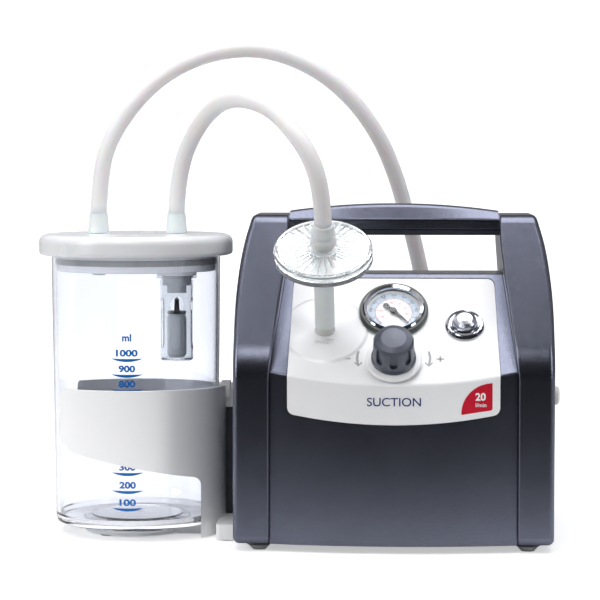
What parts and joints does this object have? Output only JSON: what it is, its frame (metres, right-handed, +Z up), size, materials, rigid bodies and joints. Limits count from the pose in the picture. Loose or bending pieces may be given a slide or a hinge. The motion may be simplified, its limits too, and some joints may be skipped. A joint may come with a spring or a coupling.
{
  "type": "suction pump",
  "caption": "Portable medical suction pump with carrying handle, vacuum gauge, regulator, bacteria filter, clear collection jar and silicone hoses.",
  "frame": {"origin": "on the floor under the middle of the object without its hoses", "axes": "+X to the viewer's right, from the jar to the pump's free side; +Y to the rear; +Z up"},
  "size_m": [0.3488, 0.4067, 0.3293],
  "materials": {
    "body_plastic": "satin metallic plastic",
    "panel_white": "gloss",
    "holder_white": "satin",
    "lid_white": "gloss",
    "jar_clear": "gloss",
    "filter_clear": "gloss",
    "silicone": "satin",
    "rubber_dark": "matte",
    "rubber_light": "matte",
    "grip_soft": "satin",
    "gasket_olive": "satin",
    "chrome": "polished",
    "dial_white": "matte",
    "needle_black": "satin",
    "lens_clear": "gloss",
    "knob_dark": "satin",
    "button_grey": "polished",
    "black_plastic": "matte",
    "steel": "brushed",
    "zinc_can": "satin",
    "laminations": "raw",
    "alloy": "cast",
    "diaphragm_rubber": "matte",
    "paper_membrane": "matte",
    "nylon_white": "satin",
    "float_plastic": "satin"
  },
  "bodies": {
    "pump": {"front_cover": "body_plastic", "rear_cover": "body_plastic", "side_frame_left": "body_plastic", "side_frame_right": "body_plastic", "handle_bar": "body_plastic", "handle_grip": "grip_soft", "base_plate": "black_plastic", "base_screws": "steel", "foot_pads": "black_plastic", "rubber_feet": "rubber_light", "control_panel": "panel_white", "side_rail": "grip_soft", "side_stud": "nylon_white", "jar_holder": "holder_white", "gauge_case": "black_plastic", "gauge_gasket": "gasket_olive", "gauge_bezel": "chrome", "gauge_dial": "dial_white", "gauge_lens": "lens_clear", "valve_body": "nylon_white", "button_bezel": "chrome", "power_switch": "black_plastic", "inlet_port": "nylon_white", "inlet_sleeve": "silicone", "filter_lower": "filter_clear", "filter_upper": "filter_clear", "filter_membrane": "paper_membrane", "filter_hose_cuff": "silicone", "mains_inlet": "black_plastic", "exhaust_silencer": "black_plastic", "motor_stator": "zinc_can", "pump_housing": "alloy", "diaphragm": "diaphragm_rubber", "valve_plate": "alloy", "pump_head": "black_plastic", "head_screws": "steel", "motor_cradle": "black_plastic", "pump_mounts": "rubber_dark", "short_hose_pump_side": "silicone", "patient_hose_down": "silicone", "patient_hose_coil": "silicone", "patient_hose_tail": "silicone", "hose_connector": "nylon_white", "inner_tubes": "silicone"},
    "jar": {"jar": "jar_clear"},
    "lid": {"lid": "lid_white", "lid_seal": "rubber_light", "hose_cuffs": "silicone", "float_cage": "filter_clear", "short_hose_jar_side": "silicone", "patient_hose_jar_side": "silicone"},
    "float": {"float": "float_plastic", "float_seal": "rubber_dark"},
    "knob": {"regulator_knob": "knob_dark"},
    "power_button": {"power_button": "button_grey"},
    "needle": {"gauge_needle": "needle_black"},
    "rotor": {"motor_rotor": "laminations", "cooling_fan": "black_plastic"},
    "rod": {"connecting_rod": "alloy"}
  },
  "joints": [
    {"name": "jar_lift", "type": "slide", "parent": "pump", "child": "jar", "axis": [0, 0, 1], "range_m": [0, 0.1]},
    {"name": "lid_lift", "type": "slide", "parent": "jar", "child": "lid", "axis": [0, 0, 1], "range_m": [0, 0.075]},
    {"name": "float_lift", "type": "slide", "parent": "lid", "child": "float", "axis": [0, 0, 1], "range_m": [0, 0.0115]},
    {"name": "regulator_turn", "type": "hinge", "parent": "pump", "child": "knob", "pos_m": [0.0633, -0.0597, 0.12071], "axis": [0, -0.7009, 0.7133], "range_deg": [-270, 270]},
    {"name": "power_press", "type": "slide", "parent": "pump", "child": "power_button", "axis": [0, 0.7009, -0.7133], "range_m": [0, 0.003], "stiffness_N_per_m": 800},
    {"name": "needle_turn", "type": "hinge", "parent": "pump", "child": "needle", "pos_m": [0.0633, -0.029, 0.15088], "axis": [0, -0.7009, 0.7133], "range_deg": [0, 270], "stiffness_Nm_per_rad": 0.0002},
    {"name": "motor_spin", "type": "hinge", "parent": "pump", "child": "rotor", "pos_m": [0.0233, 0.027, 0.05], "axis": [1, 0, 0], "continuous": true},
    {"name": "rod_swing", "type": "hinge", "parent": "rotor", "child": "rod", "pos_m": [0.0878, 0.027, 0.0525], "axis": [1, 0, 0], "continuous": true}
  ],
  "couplings": [
    {"joint": "rod_swing", "follows": "motor_spin", "ratio": -1}
  ]
}
